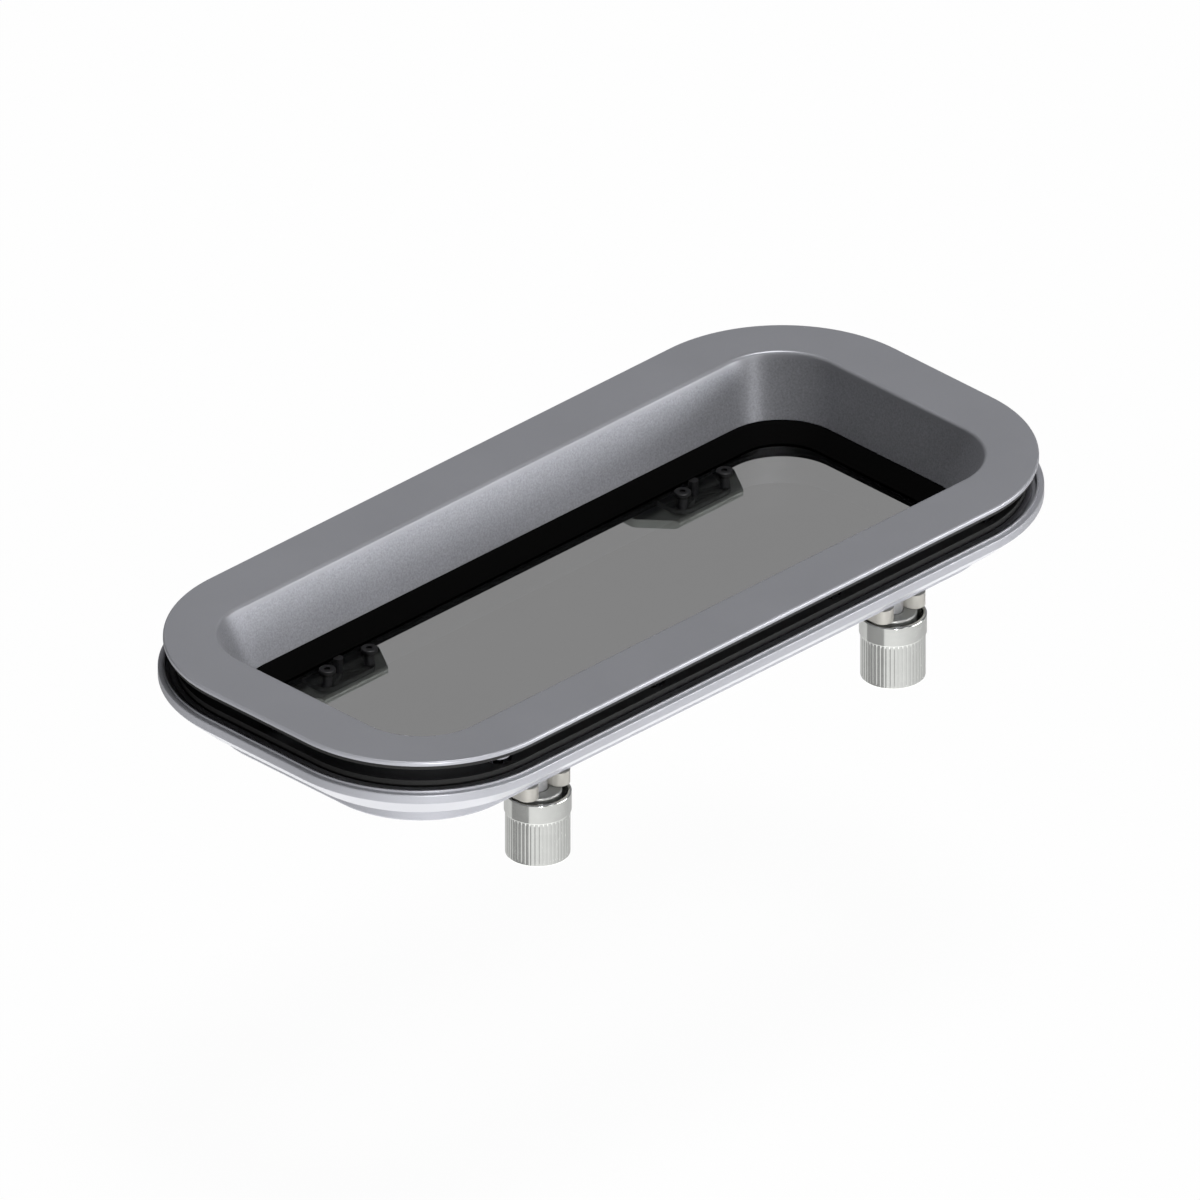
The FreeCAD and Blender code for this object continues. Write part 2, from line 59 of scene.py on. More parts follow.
# Outlines are half length, half width and corner radius
SPIGOT = (168.2, 70.4, 34.4)
FLANGE = stepped(SPIGOT, 18.2, 17.45, 26.9)
RECESS_TOP = stepped(SPIGOT, -6.7, -6.7, -6.7)
RECESS_BOTTOM = stepped(RECESS_TOP, -7.7, -7.9, -1.5)
RING = stepped(FLANGE, 1.9, 1.85, 1.6)
RING_BORE = stepped(SPIGOT, 0.6, 0.6, 0.6)
SASH = stepped(SPIGOT, -1.3, -2.0, 7.3)
PANE = stepped(SASH, -13.3, -13.4, -12.7)
LEDGE_BORE = stepped(PANE, -3.6, -3.5, -3.5)

# Heights of the faces
TOP_Z, FLANGE_Z, FRAME_Z = 3.8, 1.9, -20.7
RING_TOP_Z, RING_EDGE_Z, RING_Z = -9.8, -13.5, -23.3
SASH_TOP_Z, SASH_Z = -24.0, -33.5
PANE_TOP_Z, PANE_Z = -25.5, -31.5

# Clamp ring: the chamfer's inset, and the insets of the ridge and of the groove's two walls
CHAMFER_IN = 10.6
RIDGE_IN, RIDGE_H = 2.0, 0.9
GROOVE_IN, GROOVE_OUT, GROOVE_D = 2.9, 4.6, 2.0

# Clamp screws and the bosses they run into
BOSS_R, BOSS_Z, BOSS_OUT = 4.8, -5.4, 4.6
BOSS_SINK = 0.5
CLAMP_SCREW_R, CLAMP_HEAD_R, CLAMP_HEAD_H = 2.0, 3.7, 2.3
HEAD_PROUD, SOCKET_R, SOCKET_D = 0.3, 1.95, 1.6

# Seals: how far they stand back, the bead's thickness and the room left beside a face
GASKET_IN = 0.7
BEAD_T, BEAD_LIP, TOUCH = 0.6, 0.5, 0.02

# Knob and sleeve: radii, and heights from the cup's rim down
KEEPER_RIM, POCKET_GAP = 1.0, 0.1
KNOB_RIM_Z, COLLAR_Z, KNOB_Z = -40.5, -48.7, -67.9
COLLAR_R, GRIP_R, CUP_R, CUP_FLOOR_Z = 13.1, 12.6, 11.6, -48.5
STUD_ROOM_R, STUD_ROOM_Z = 4.3, -61.0
SLEEVE_R, SLEEVE_BORE, SLEEVE_TOP_Z, SLEEVE_Z = 9.35, 4.1, -39.5, -48.4
FLUTES, FLUTE_DEPTH = 46, 0.16
STATION_X, CLAMP_Y = 96.6, 8.2 - SPIGOT[1]
SIDES = ((-1, "left"), (1, "right"))

# Geometry


def station(shape, z, d=0.0):
    """One station of a ring's section: the outline with d taken off all three numbers, at height z."""
    return [v - d for v in shape] + [z]


def filleted(points, radii, steps=7):
    """Closed section with its corners replaced by arcs.

    The first and last numbers of a row are its place in the plane of the section. At each
    corner the arc's centre lies on the bisector, at hypot(radius, tangent length) from it,
    and the arc is the spherical blend of its two end spokes: spoke_a * sin((1-t) turn) +
    spoke_b * sin(t turn), over sin(turn). One more point outside each end of the arc keeps
    the shading of the flat beside it. The middle numbers follow the same straight runs.
    """
    pts = np.asarray(points, float)
    rows = []
    for i, point in enumerate(pts):
        if radii[i] <= 0.0:
            rows.append(point[None])
            continue
        arm_a, arm_b = pts[i - 1] - point, pts[(i + 1) % len(pts)] - point
        len_a, len_b = (np.linalg.norm(arm[[0, -1]]) for arm in (arm_a, arm_b))
        unit_a, unit_b = arm_a / len_a, arm_b / len_b
        cosine = np.clip(np.dot(unit_a[[0, -1]], unit_b[[0, -1]]), -1.0, 1.0)
        inner = math.acos(cosine)
        if inner > math.radians(177.0):
            rows.append(point[None])
            continue
        reach = min(radii[i] / math.tan(inner / 2), 0.45 * len_a, 0.45 * len_b)
        bisector = unit_a + unit_b
        bisector = bisector / np.linalg.norm(bisector[[0, -1]])
        centre = point + bisector * math.hypot(reach, reach * math.tan(inner / 2))
        spoke_a = point + unit_a * reach - centre
        spoke_b = point + unit_b * reach - centre
        turn = math.pi - inner
        t = np.linspace(0.0, 1.0, steps + 1)[:, None]
        arc = centre + (spoke_a * np.sin((1 - t) * turn) + spoke_b * np.sin(t * turn)) / math.sin(turn)
        pad = min(0.25 * (0.5 * min(len_a, len_b) - reach), 0.25)
        rows.append((point + unit_a * (reach + pad))[None])
        rows.append(arc)
        rows.append((point + unit_b * (reach + pad))[None])
    return np.vstack(rows)


def grid_faces(rows, cols, close_rows):
    """Quads of a grid whose columns always wrap, and whose rows wrap if asked."""
    last = rows if close_rows else rows - 1
    r, c = np.meshgrid(np.arange(last), np.arange(cols), indexing="ij")
    r2, c2 = (r + 1) % rows, (c + 1) % cols
    return np.stack([r * cols + c, r * cols + c2, r2 * cols + c2, r2 * cols + c], axis=-1).reshape(-1, 4)


def shade_by_angle(bm, mesh, smooth_deg=35.0):
    """Smooth faces, sharp where two faces meet at more than the angle; ends the bmesh."""
    limit = math.radians(smooth_deg)
    for edge in bm.edges:
        edge.smooth = edge.is_manifold and edge.calc_face_angle(0.0) < limit
    bm.to_mesh(mesh)
    bm.free()
    mesh.polygons.foreach_set("use_smooth", np.ones(len(mesh.polygons), bool))


def make_piece(name, verts, faces, caps=()):
    """Mesh object from arrays in millimetres, with doubles merged and faces turned outward."""
    mesh = bpy.data.meshes.new(name)
    polys = faces.tolist() + [list(cap) for cap in caps]
    mesh.from_pydata((verts * MM).tolist(), [], polys)
    bm = bmesh.new()
    bm.from_mesh(mesh)
    bmesh.ops.remove_doubles(bm, verts=bm.verts, dist=2e-6)
    bmesh.ops.dissolve_degenerate(bm, edges=bm.edges, dist=1e-6)
    bmesh.ops.recalc_face_normals(bm, faces=bm.faces)
    shade_by_angle(bm, mesh)
    piece = bpy.data.objects.new(name, mesh)
    bpy.context.scene.collection.objects.link(piece)
    return piece


def outline_grid(section, arc=26):
    """Points of a rounded rectangle at every station.

    With station numbers hx, hy, r, z and a corner angle a, each point is
    (sx (hx - r) + r cos a, sy (hy - r) + r sin a, z); a runs a quarter turn at each corner.
    """
    hx, hy, r, z = (np.asarray(section)[:, i, None] for i in range(4))
    quarter = np.linspace(0.0, math.pi / 2, arc)
    angle = np.concatenate([quarter + k * math.pi / 2 for k in range(4)])[None]
    sx = np.repeat([1, -1, -1, 1], arc)[None]
    sy = np.repeat([1, 1, -1, -1], arc)[None]
    x = sx * (hx - r) + r * np.cos(angle)
    y = sy * (hy - r) + r * np.sin(angle)
    return np.stack([x, y, np.broadcast_to(z, x.shape)], axis=-1)


def ring_piece(name, points, radii, arc=26, steps=7):
    """A closed section carried round its rounded rectangle outline."""
    section = filleted(points, radii, steps)
    grid = outline_grid(section, arc)
    rows, cols = grid.shape[:2]
    return make_piece(name, grid.reshape(-1, 3), grid_faces(rows, cols, True))


def turned_piece(name, cx, cy, profile, radii, flutes=0, depth=0.0, band=(0, 0), around=96, steps=6):
    """Profile of (radius, height) turned about an upright axis, with optional grip flutes.

    The point at angle a is (cx + R cos a, cy + R sin a, z). Inside the band of heights
    R loses depth * (0.5 + 0.5 cos(flutes a)) ** 5, and a smooth step fades the flutes in
    over 0.8 at both ends of the band.
    """
    section = filleted([(r, 0.0, z) for r, z in profile], radii, steps)
    if flutes:
        dense = []
        for a, b in zip(section[:-1], section[1:]):
            count = max(1, int(abs(b[2] - a[2]) / 0.7)) if a[0] > 10 and b[0] > 10 else 1
            t = np.linspace(0.0, 1.0, count, endpoint=False)[:, None]
            dense.append(a + (b - a) * t)
        section = np.vstack(dense + [section[-1:]])
    angle = np.linspace(0.0, 2 * math.pi, around, endpoint=False)[None]
    radius = section[:, 0, None] + 0 * angle
    z = section[:, 2, None] + 0 * angle
    if flutes:
        low, high = band
        fade = np.clip((z - low) / 0.8, 0, 1) * np.clip((high - z) / 0.8, 0, 1)
        fade = fade * fade * (3 - 2 * fade) * (radius > CUP_R + 0.4)
        radius = radius - fade * depth * (0.5 + 0.5 * np.cos(flutes * angle)) ** 5
    verts = np.stack([cx + radius * np.cos(angle), cy + radius * np.sin(angle), z], axis=-1)
    rows, cols = verts.shape[:2]
    return make_piece(name, verts.reshape(-1, 3), grid_faces(rows, cols, False))


def prism_piece(name, outline, z0, z1):
    """Upright prism: the outline's points at height z0 and again at z1, with a cap on each."""
    flat = np.asarray(outline, float)
    count = len(flat)
    low = np.column_stack([flat, np.full(count, z0)])
    high = np.column_stack([flat, np.full(count, z1)])
    caps = [range(count)[::-1], [count + i for i in range(count)]]
    return make_piece(name, np.vstack([low, high]), grid_faces(2, count, False), caps)


def stadium(start, end, r, steps=18):
    """Outline round two equal circles: start + r (cos a, sin a) over the outer half turn, then end's."""
    start, end = np.asarray(start, float), np.asarray(end, float)
    heading = math.atan2(*(end - start)[::-1])
    half = np.linspace(math.pi / 2, 3 * math.pi / 2, steps)
    near = start + r * np.column_stack([np.cos(heading + half), np.sin(heading + half)])
    far = end - r * np.column_stack([np.cos(heading + half), np.sin(heading + half)])
    return np.vstack([near, far])


def box_outline(x0, x1, y0, y1):
    """Corners of a rectangle, anticlockwise."""
    return [(x0, y0), (x1, y0), (x1, y1), (x0, y1)]


def combine(piece, tools, operation):
    """Join the tools to a piece, or cut them out of it, and shade the result by its face angles."""
    for tool in tools:
        step = piece.modifiers.new(operation.lower(), "BOOLEAN")
        step.operation = operation
        step.solver = "EXACT"
        step.object = tool
    bpy.context.view_layer.update()
    graph = bpy.context.evaluated_depsgraph_get()
    result = bpy.data.meshes.new_from_object(piece.evaluated_get(graph))
    piece.modifiers.clear()
    piece.data = result
    bm = bmesh.new()
    bm.from_mesh(result)
    bmesh.ops.remove_doubles(bm, verts=bm.verts, dist=2e-6)
    shade_by_angle(bm, result)
    for tool in tools:
        bpy.data.objects.remove(tool)


# Materials


class Nodes:
    """The node tree of a material or of the world, with short calls to add, set and join nodes."""

    def __init__(self, owner):
        self.owner = owner
        owner.use_nodes = True
        self.tree = owner.node_tree
        self.tree.nodes.clear()

    def put(self, socket, value):
        """Join a socket to another node's output, or set its own value."""
        if hasattr(value, "is_output"):
            self.tree.links.new(value, socket)
        else:
            socket.default_value = value

    def add(self, kind, **sockets):
        """New node with its sockets filled by name, where an underscore stands for a space."""
        node = self.tree.nodes.new("ShaderNode" + kind)
        for key, value in sockets.items():
            self.put(node.inputs[key.replace("_", " ")], value)
        return node

    def operate(self, kind, operation, *values):
        """New node of a kind that has an operation, with its sockets filled in order."""
        node = self.tree.nodes.new("ShaderNode" + kind)
        node.operation = operation
        for socket, value in zip(node.inputs, values):
            self.put(socket, value)
        return node

    def math(self, operation, a, b=0.0):
        return self.operate("Math", operation, a, b).outputs[0]

    def mixed(self, fac, first, second):
        """Blend of two shaders: the first where fac is 0, the second where it is 1."""
        node = self.add("MixShader", Fac=fac)
        self.tree.links.new(first.outputs[0], node.inputs[1])
        self.tree.links.new(second.outputs[0], node.inputs[2])
        return node

    def place(self):
        return self.add("TexCoord").outputs["Object"]

    def noise(self, scale, detail=3.0, vector=None, rough=0.55):
        return self.add("TexNoise", Vector=vector or self.place(), Scale=scale, Detail=detail,
                        Roughness=rough).outputs[0]

    def ramp(self, fac, low, high, a, b):
        node = self.add("ValToRGB", Fac=fac)
        node.color_ramp.elements[0].position = low
        node.color_ramp.elements[1].position = high
        node.color_ramp.elements[0].color = tuple(a) + (1.0,)
        node.color_ramp.elements[1].color = tuple(b) + (1.0,)
        return node.outputs[0]

    def span(self, fac, low, high):
        node = self.add("MapRange", Value=fac, To_Min=low, To_Max=high)
        return node.outputs[0]

    def rise(self, value, start, end):
        """Smooth step from 0 at start to 1 at end; start may be the larger."""
        node = self.add("MapRange", Value=value, From_Min=start, From_Max=end)
        node.interpolation_type = "SMOOTHSTEP"
        return node.outputs[0]

    def bump(self, height, strength, metres):
        return self.add("Bump", Height=height, Strength=strength, Distance=metres).outputs[0]

    def finish(self, shader, output="OutputMaterial"):
        """Join the last shader to a new output node, and hand back what the tree belongs to."""
        self.add(output, Surface=shader.outputs[0])
        return self.owner


def linear(*rgb255):
    """Stored colour of a picture value: ((v + 0.055) / 1.055) ** 2.4."""
    return [((v / 255 + 0.055) / 1.055) ** 2.4 for v in rgb255]


def satin_paint(name, tone, cast_below=None):
    """Satin coat on a casting: a fine even skin, and below a height the bare grain of the casting.

    The grain is a noise with features of about 0.7 mm, centred on 0.5 and widened by the
    mask of the height, so the flat top stays smooth while the recess wall looks sand cast.
    """
    n = Nodes(bpy.data.materials.new(name))
    fine = n.noise(2600.0, 2.0)
    cloud = n.noise(22.0, 3.0)
    skin = n.math("ADD", n.math("MULTIPLY", fine, 0.5), n.math("MULTIPLY", cloud, 0.5))
    spread = n.math("MULTIPLY", n.math("SUBTRACT", skin, 0.5), 0.5)
    relief = n.math("MULTIPLY", fine, 0.2)
    if cast_below is not None:
        height = n.add("SeparateXYZ", Vector=n.place()).outputs[2]
        bare = n.rise(height, cast_below * MM, (cast_below - 1.2) * MM)
        grit = n.math("SUBTRACT", n.noise(1250.0, 2.5, rough=0.6), 0.5)
        spread = n.math("ADD", spread, n.math("MULTIPLY", n.math("MULTIPLY", grit, bare), 1.5))
        relief = n.math("ADD", relief, n.math("MULTIPLY", grit, bare))
    lo = [c * 0.72 for c in tone]
    hi = [c * 1.28 for c in tone]
    colour = n.ramp(n.math("ADD", spread, 0.5), 0.0, 1.0, lo, hi)
    shader = n.add("BsdfPrincipled", Base_Color=colour, Metallic=0.3,
                   Roughness=n.span(fine, 0.29, 0.42), Normal=n.bump(relief, 0.3, 0.0001))
    shader.inputs["Specular IOR Level"].default_value = 0.2
    return n.finish(shader)


def black_rubber(name, tone=0.012, gloss=0.25):
    """Matte rubber: near black, with a moulded skin of fine noise."""
    n = Nodes(bpy.data.materials.new(name))
    skin = n.noise(1500.0, 3.0)
    colour = n.ramp(skin, 0.3, 0.7, [tone * 0.7] * 3, [tone * 1.4] * 3)
    shader = n.add("BsdfPrincipled", Base_Color=colour, Roughness=n.span(skin, 0.62, 0.8),
                   Normal=n.bump(skin, 0.2, 0.00006))
    shader.inputs["Specular IOR Level"].default_value = gloss
    return n.finish(shader)


def tinted_pane(name):
    """Smoke tinted sheet: each face lets the tint through once, so the sheet shows its square.

    Lamps pass with little loss, so that the hinge plates under the sheet stay lit.
    """
    n = Nodes(bpy.data.materials.new(name))
    haze = n.noise(9.0, 2.0)
    smoke = n.ramp(haze, 0.2, 0.8, [0.482] * 3, [0.491] * 3)
    tint = n.add("Mix")
    tint.data_type = "RGBA"
    factor, first, second = tint.inputs[0], tint.inputs[6], tint.inputs[7]
    n.put(factor, n.add("LightPath").outputs["Is Shadow Ray"])
    n.put(first, smoke)
    n.put(second, (0.76, 0.76, 0.76, 1.0))
    clear = n.add("BsdfTransparent", Color=tint.outputs[2])
    shine = n.add("BsdfGlossy", Color=(1.0, 1.0, 1.0, 1.0), Roughness=0.02)
    return n.finish(n.mixed(0.03, clear, shine))


def turned_steel(name, tone, rough):
    """Satin metal turned on a lathe: faint rings that follow height and distance from the knob's axis."""
    n = Nodes(bpy.data.materials.new(name))
    place = n.add("SeparateXYZ", Vector=n.place())
    dx = n.math("SUBTRACT", n.math("ABSOLUTE", place.outputs[0]), STATION_X * MM)
    dy = n.math("SUBTRACT", place.outputs[1], CLAMP_Y * MM)
    reach = n.math("SQRT", n.math("ADD", n.math("MULTIPLY", dx, dx), n.math("MULTIPLY", dy, dy)))
    rings = n.add("CombineXYZ", X=reach, Y=place.outputs[2], Z=0.0).outputs[0]
    marks = n.noise(5200.0, 2.0, rings)
    soft = n.noise(180.0, 3.0)
    colour = n.ramp(n.math("ADD", n.math("MULTIPLY", marks, 0.5), n.math("MULTIPLY", soft, 0.5)), 0.3, 0.7,
                    [c * 0.95 for c in tone], [min(1.0, c * 1.04) for c in tone])
    shader = n.add("BsdfPrincipled", Base_Color=colour, Metallic=1.0,
                   Roughness=n.span(soft, rough - 0.04, rough + 0.06), Normal=n.bump(marks, 0.1, 0.00003))
    return n.finish(shader)


def dark_casting(name, tone, gloss=0.4, metal=0.2):
    """Dark satin casting with a slight orange-peel skin."""
    n = Nodes(bpy.data.materials.new(name))
    peel = n.noise(420.0, 3.0)
    colour = n.ramp(peel, 0.3, 0.7, [c * 0.9 for c in tone], [c * 1.12 for c in tone])
    shader = n.add("BsdfPrincipled", Base_Color=colour, Metallic=metal, Roughness=n.span(peel, 0.38, 0.5),
                   Normal=n.bump(peel, 0.25, 0.00006))
    shader.inputs["Specular IOR Level"].default_value = gloss
    return n.finish(shader)


FRAME_TONE = linear(168, 169, 175)
paint = satin_paint("satin paint", FRAME_TONE)
cast_paint = satin_paint("satin paint over casting", FRAME_TONE, cast_below=FLANGE_Z)
rubber = black_rubber("gasket rubber")
# Black rubber of the lip seal and the sealant bead, darkened to almost nothing and with hardly any gloss:
# partly the rubber's own black, partly painted shade for the black deep in the recess round the pane
seal_rubber_with_painted_shade = black_rubber("seal rubber darkened as painted shade", tone=0.0015, gloss=0.02)
pane_sheet = tinted_pane("smoke tinted sheet")
knob_steel = turned_steel("turned knob metal", linear(214, 215, 212), rough=0.12)
steel = turned_steel("fastener steel", linear(188, 188, 190), rough=0.3)
casting = satin_paint("hinge casting", linear(160, 164, 160))
spacer_plastic = dark_casting("dark hinge spacer", linear(72, 74, 72), gloss=0.1)
bolt_black = dark_casting("blackened bolt steel", linear(62, 62, 63), metal=1.0)
fork_finish = satin_paint("worn fork finish", linear(170, 168, 162))
hub_finish = satin_paint("hub finish", linear(172, 173, 170))


def dress(piece, material, body, slot, *replaced):
    """Give a new piece its finish, the body it rides on and the nodes it stands for; the slot argument is not
    used.
    """
    piece.data.materials.clear()
    piece.data.materials.append(material)
    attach(piece, body)
    if replaced:
        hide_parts(*replaced)


# Outer frame: flange, recess wall and spigot in one closed section
body_section = [
    station(FLANGE, FLANGE_Z), station(FLANGE, TOP_Z),
    station(RECESS_TOP, TOP_Z), station(RECESS_BOTTOM, FRAME_Z),
    station(SPIGOT, FRAME_Z), station(SPIGOT, FLANGE_Z)]
frame_body = ring_piece("frame_casting", body_section, [0.25, 0.8, 1.5, 0.2, 0.4, 0.3], arc=40)

# Screw bosses that reach out from the spigot: four on each long side, one at each end
screw_y = SPIGOT[1] + BOSS_OUT
screw_xs = (0.285 * SPIGOT[0], SPIGOT[0] - SPIGOT[2] - 2.8)
all_screws = [(sx * x, sy * screw_y) for x in screw_xs for sx in (-1, 1) for sy in (-1, 1)]
all_screws += [(-SPIGOT[0] - BOSS_OUT, 0.0), (SPIGOT[0] + BOSS_OUT, 0.0)]
bosses = []
for bx, by in all_screws:
    root = (math.copysign(SPIGOT[0] - BOSS_SINK, bx), 0.0)
    if by:
        root = (bx, math.copysign(SPIGOT[1] - BOSS_SINK, by))
    bosses.append(prism_piece("boss", stadium((bx, by), root, BOSS_R), BOSS_Z, FLANGE_Z + 0.4))
combine(frame_body, bosses, "UNION")

# Pockets for the keepers, and above them the room in which the hooks turn
rooms = []
for side, word in SIDES:
    low, high = (np.array(corner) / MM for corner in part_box("keeper_" + word))
    hook_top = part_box("latch_hook_" + word)[1][2] / MM
    x = side * STATION_X
    pocket = box_outline(low[0] - POCKET_GAP, high[0] + POCKET_GAP, low[1] - POCKET_GAP, high[1] + POCKET_GAP)
    room = box_outline(x - 3.2, x + 6.0, low[1] + KEEPER_RIM, high[1] - KEEPER_RIM)
    rooms.append(prism_piece("pocket", pocket, low[2] - 1.0, high[2]))
    rooms.append(prism_piece("room", room, low[2] - 1.0, hook_top + 0.3))
combine(frame_body, rooms, "DIFFERENCE")
dress(frame_body, cast_paint, "frame", "frame_paint", "outer_frame")

# Gasket under the flange
gasket_section = [
    station(FLANGE, 0.0, GASKET_IN), station(FLANGE, FLANGE_Z - TOUCH, GASKET_IN),
    station(SPIGOT, FLANGE_Z - TOUCH, -0.5), station(SPIGOT, 0.0, -0.5)]
gasket = ring_piece("flange_gasket_skin", gasket_section, [0.5, 0.1, 0.0, 0.1], arc=40)
dress(gasket, rubber, "frame", "gasket", "flange_gasket")

# Clamp ring with its chamfer, a thin ridge that stands up beside the groove, and the groove
ridge_z, groove_z = RING_TOP_Z + RIDGE_H, RING_TOP_Z - GROOVE_D
ring_section = [
    station(RING, RING_Z, CHAMFER_IN), station(RING, RING_EDGE_Z), station(RING, RING_TOP_Z),
    station(RING, RING_TOP_Z, RIDGE_IN), station(RING, ridge_z, RIDGE_IN),
    station(RING, ridge_z, GROOVE_IN), station(RING, groove_z, GROOVE_IN),
    station(RING, groove_z, GROOVE_OUT), station(RING, RING_TOP_Z, GROOVE_OUT),
    station(RING_BORE, RING_TOP_Z), station(RING_BORE, RING_Z)]
ring_radii = [0.9, 0.6, 0.35, 0.1, 0.25, 0.25, 0.25, 0.25, 0.2, 0.2, 0.4]
clamp_ring = ring_piece("clamp_ring_casting", ring_section, ring_radii, arc=40, steps=5)
dress(clamp_ring, paint, "frame", "frame_paint", "clamp_ring")

# Clamp screws, their socket heads almost flush with the ring
head_z = RING_Z - HEAD_PROUD
seat_z, tip_z = head_z + CLAMP_HEAD_H, BOSS_Z + 1.0
bolt_profile = [
    (0.0, head_z), (CLAMP_HEAD_R, head_z), (CLAMP_HEAD_R, seat_z),
    (CLAMP_SCREW_R, seat_z), (CLAMP_SCREW_R, tip_z), (0.0, tip_z)]
six = np.arange(6) * math.pi / 3
hexagon = SOCKET_R * np.column_stack([np.cos(six), np.sin(six)])
for i, (sx, sy) in enumerate(all_screws):
    bolt = turned_piece("clamp_bolt_%d" % i, sx, sy, bolt_profile, [0, 0.4, 0.1, 0.1, 0.1, 0], around=40)
    socket = prism_piece("socket", hexagon + (sx, sy), head_z - 1.0, head_z + SOCKET_D)
    combine(bolt, [socket], "DIFFERENCE")
    dress(bolt, bolt_black, "frame", "steel", *(["clamp_screws"] if i == 0 else []))

# Sash ring with its ledge
ledge_z = PANE_Z - BEAD_T
sash_section = [
    station(SASH, SASH_Z), station(SASH, SASH_TOP_Z),
    station(PANE, SASH_TOP_Z, -BEAD_T), station(PANE, ledge_z, -BEAD_T),
    station(LEDGE_BORE, ledge_z), station(LEDGE_BORE, SASH_Z)]
sash_ring = ring_piece("sash_ring_casting", sash_section, [0.8, 0.8, 0.3, 0.2, 0.3, 0.4], arc=36)
dress(sash_ring, paint, "sash", "frame_paint", "sash_ring")

# Black sealant bead: under and round the pane, and down the bore of the ledge; its near-black rubber is
# partly the rubber's own black, partly painted shade
bead_out = BEAD_T - TOUCH
bead_section = [
    station(LEDGE_BORE, SASH_Z + 0.1, BEAD_LIP), station(LEDGE_BORE, PANE_Z - TOUCH, BEAD_LIP),
    station(PANE, PANE_Z - TOUCH, -TOUCH), station(PANE, PANE_TOP_Z, -TOUCH),
    station(PANE, PANE_TOP_Z, -bead_out), station(PANE, PANE_Z - bead_out, -bead_out),
    station(LEDGE_BORE, PANE_Z - bead_out), station(LEDGE_BORE, SASH_Z + 0.1)]
bead = ring_piece("sealant_bead", bead_section, [0.1, 0.1, 0.0, 0.0, 0.0, 0.0, 0.0, 0.0], arc=30)
dress(bead, seal_rubber_with_painted_shade, "sash", "gasket", "glazing")

# Knobs and the sleeves inside their cups
knob_profile = [
    (0.0, STUD_ROOM_Z), (STUD_ROOM_R, STUD_ROOM_Z), (STUD_ROOM_R, CUP_FLOOR_Z),
    (CUP_R, CUP_FLOOR_Z), (CUP_R, KNOB_RIM_Z), (COLLAR_R, KNOB_RIM_Z), (COLLAR_R, COLLAR_Z),
    (GRIP_R, COLLAR_Z - 0.3), (GRIP_R, KNOB_Z), (0.0, KNOB_Z)]
knob_radii = [0, 0, 0.2, 0.4, 0.35, 0.45, 0.2, 0.1, 0.45, 0]
sleeve_profile = [
    (SLEEVE_BORE, SLEEVE_Z), (SLEEVE_R, SLEEVE_Z), (SLEEVE_R, SLEEVE_TOP_Z),
    (SLEEVE_BORE, SLEEVE_TOP_Z), (SLEEVE_BORE, SLEEVE_Z)]
for side, word in SIDES:
    x = side * STATION_X
    knob = turned_piece("knob_grip_" + word, x, CLAMP_Y, knob_profile, knob_radii, flutes=FLUTES,
                        depth=FLUTE_DEPTH, band=(KNOB_Z + 0.4, COLLAR_Z - 0.4), around=16 * FLUTES)
    dress(knob, knob_steel, "knob_body_" + word, "knob_metal", "knob_" + word)
    sleeve = turned_piece("sleeve_hub_" + word, x, CLAMP_Y, sleeve_profile, [0, 0.2, 0.5, 0.3, 0])
    dress(sleeve, hub_finish, "sleeve_" + word, "steel", "thrust_sleeve_" + word)

# Finish of the solids that are shown as they are
paired_finish = {
    "hinge_bracket_": casting, "hinge_leaf_": casting, "hinge_spacer_": spacer_plastic,
    "hinge_bolts_": bolt_black, "fork_": fork_finish}
steel_stems = (
    "keeper_", "keeper_screws_", "bracket_screws_", "hinge_pin_", "leaf_screws_",
    "fork_screws_", "knob_stud_", "stud_clip_", "latch_hook_")
paired_finish.update((stem, steel) for stem in steel_stems)
# The lip seal gets the seal rubber whose extra darkness is painted shade
node_finish = {"pane": pane_sheet, "ring_gasket": rubber, "lip_seal": seal_rubber_with_painted_shade}
for side, word in SIDES:
    node_finish.update((stem + word, finish) for stem, finish in paired_finish.items())
for node, finish in node_finish.items():
    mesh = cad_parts[node].data
    mesh.materials.clear()
    mesh.materials.append(finish)


# Floor: camera and transmission rays see it as white; glossy rays do not see it
def white_stage(name, white_share):
    """Pale floor that reads white in the picture, keeps a faint shadow, and is clear from below.

    The share of glow in what the picture sees is white_share; the rest is a plain surface.
    """
    n = Nodes(bpy.data.materials.new(name))
    path = n.add("LightPath")
    seen = n.math("MAXIMUM", path.outputs["Is Camera Ray"],
                  n.math("MAXIMUM", path.outputs["Is Glossy Ray"], path.outputs["Is Transmission Ray"]))
    diffuse = n.add("BsdfDiffuse", Color=(0.9, 0.9, 0.9, 1.0))
    glow = n.add("Emission", Color=(1.0, 1.0, 1.0, 1.0), Strength=1.0)
    surface = n.mixed(n.math("MULTIPLY", seen, white_share), diffuse, glow)
    from_below = n.add("NewGeometry").outputs["Backfacing"]
    return n.finish(n.mixed(from_below, surface, n.add("BsdfTransparent")))


# The floor lies below the reach of the open sash
FLOOR_REACH, FLOOR_Z = 3000.0, -200.0
floor_corners = [(x * MM, y * MM, FLOOR_Z * MM) for x, y in box_outline(*[-FLOOR_REACH, FLOOR_REACH] * 2)]
floor_mesh = bpy.data.meshes.new("floor")
floor_mesh.from_pydata(floor_corners, [], [(0, 1, 2, 3)])
floor = bpy.data.objects.new("floor", floor_mesh)
bpy.context.scene.collection.objects.link(floor)
floor_mesh.materials.append(white_stage("white floor", 0.97))
floor.visible_glossy = False

# World: dim for the object's light, white behind it, and a studio with one dark side in its gloss
world = bpy.context.scene.world or bpy.data.worlds.new("world")
bpy.context.scene.world = world
sky = Nodes(world)
WORLD_LIGHT = 0.02
DARK_SIDE_DEG = 160.5
BRIGHT_SIDE_DEG = 215.0
PANEL_DEG = 310.0
PANEL_LIGHT = 12.4


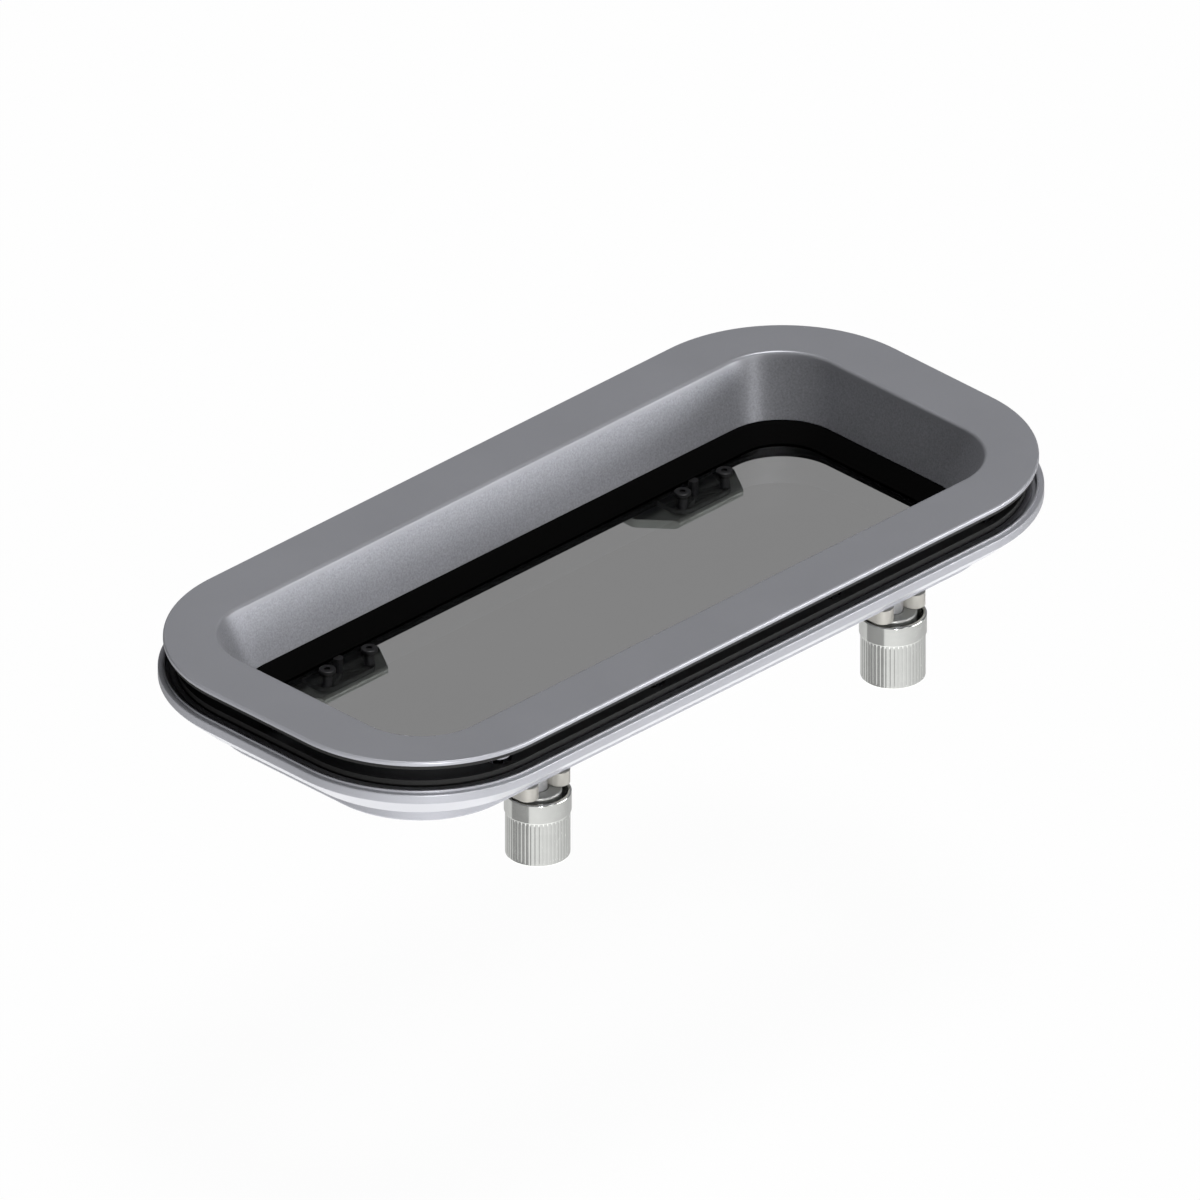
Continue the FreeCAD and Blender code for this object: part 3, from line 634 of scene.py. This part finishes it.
def facing(direction, azimuth_deg):
    """Cosine of the level angle between a direction and an azimuth."""
    level = sky.operate("VectorMath", "MULTIPLY", direction, (1.0, 1.0, 0.0))
    unit = sky.operate("VectorMath", "NORMALIZE", level.outputs[0])
    a = math.radians(azimuth_deg)
    dot = sky.operate("VectorMath", "DOT_PRODUCT", unit.outputs[0], (math.cos(a), math.sin(a), 0.0))
    return dot.outputs["Value"]


direction = sky.add("TexCoord").outputs["Generated"]
height = sky.add("SeparateXYZ", Vector=direction).outputs[2]

# Lower half of the room: brighter to one side, with the dark side, and bright again underneath
dark = sky.rise(facing(direction, DARK_SIDE_DEG), 0.80, 0.85)
round_the_room = sky.math("ADD", sky.math("MULTIPLY", facing(direction, BRIGHT_SIDE_DEG), 0.22), 0.78)
room = sky.math("MULTIPLY", round_the_room, sky.span(dark, 1.0, 0.42))
steep = sky.math("MULTIPLY", sky.rise(height, -0.57, -0.64), 2.0)
room = sky.math("MAXIMUM", room, steep)

# Upper half: a low bright panel in the dark, which the recess wall mirrors
panel = sky.math("MULTIPLY", sky.rise(facing(direction, PANEL_DEG), 0.92, 0.96), sky.rise(height, 0.22, 0.1))
above = sky.math("ADD", sky.math("MULTIPLY", panel, PANEL_LIGHT), 0.02)
up = sky.rise(height, -0.25, -0.15)
down = sky.math("SUBTRACT", 1.0, up)
gloss = sky.math("ADD", sky.math("MULTIPLY", up, above), sky.math("MULTIPLY", down, room))

# Which rays see what: camera and transmission white, glossy the room, all others the dim world
path = sky.add("LightPath")
seen = sky.math("MAXIMUM", path.outputs["Is Camera Ray"], path.outputs["Is Transmission Ray"])
glossy = path.outputs["Is Glossy Ray"]
base = sky.math("MULTIPLY", sky.math("SUBTRACT", 1.0, glossy), WORLD_LIGHT)
plain = sky.math("ADD", base, sky.math("MULTIPLY", glossy, gloss))
strength = sky.math("MAXIMUM", seen, plain)
sky.finish(sky.add("Background", Color=(1.0, 1.0, 1.0, 1.0), Strength=strength), "OutputWorld")


# Lamps: a soft one overhead, a faint one over the rim, and a low panel that stays out of the recess
def sun(name, toward, strength, angle_deg):
    """Sun lamp whose rays travel along the given direction."""
    light = bpy.data.lights.new(name, "SUN")
    light.energy = strength
    light.angle = math.radians(angle_deg)
    lamp = bpy.data.objects.new(name, light)
    lamp.rotation_euler = Vector(toward).to_track_quat("-Z", "Y").to_euler()
    bpy.context.scene.collection.objects.link(lamp)


sun("overhead lamp", (-0.14, 0.05, -1.0), 2.25, 24.0)
sun("knob side lamp", (0.0, 0.94, -0.34), 0.45, 20.0)
sun("low panel", (0.56, 0.82, 0.015), 3.0, 4.0)

# Camera at the picture's view: level lines along the two sides fall at two to one
PICTURE_PX, PX_PER_MM = 1200, 2.6
camera_data = bpy.data.cameras.new("camera")
camera_data.type = "ORTHO"
camera_data.ortho_scale = PICTURE_PX / PX_PER_MM * MM
camera_data.clip_start = 0.01
camera_data.clip_end = 20.0
camera = bpy.data.objects.new("camera", camera_data)
toward_camera = Vector((-0.6124, -0.6124, 0.5))
aim = Vector((-0.27, 0.27, -21.3)) * MM
camera.location = aim + toward_camera * 2.0
camera.rotation_euler = (-toward_camera).to_track_quat("-Z", "Y").to_euler()
bpy.context.scene.collection.objects.link(camera)
bpy.context.scene.camera = camera
bpy.context.scene.view_settings.view_transform = "Standard"
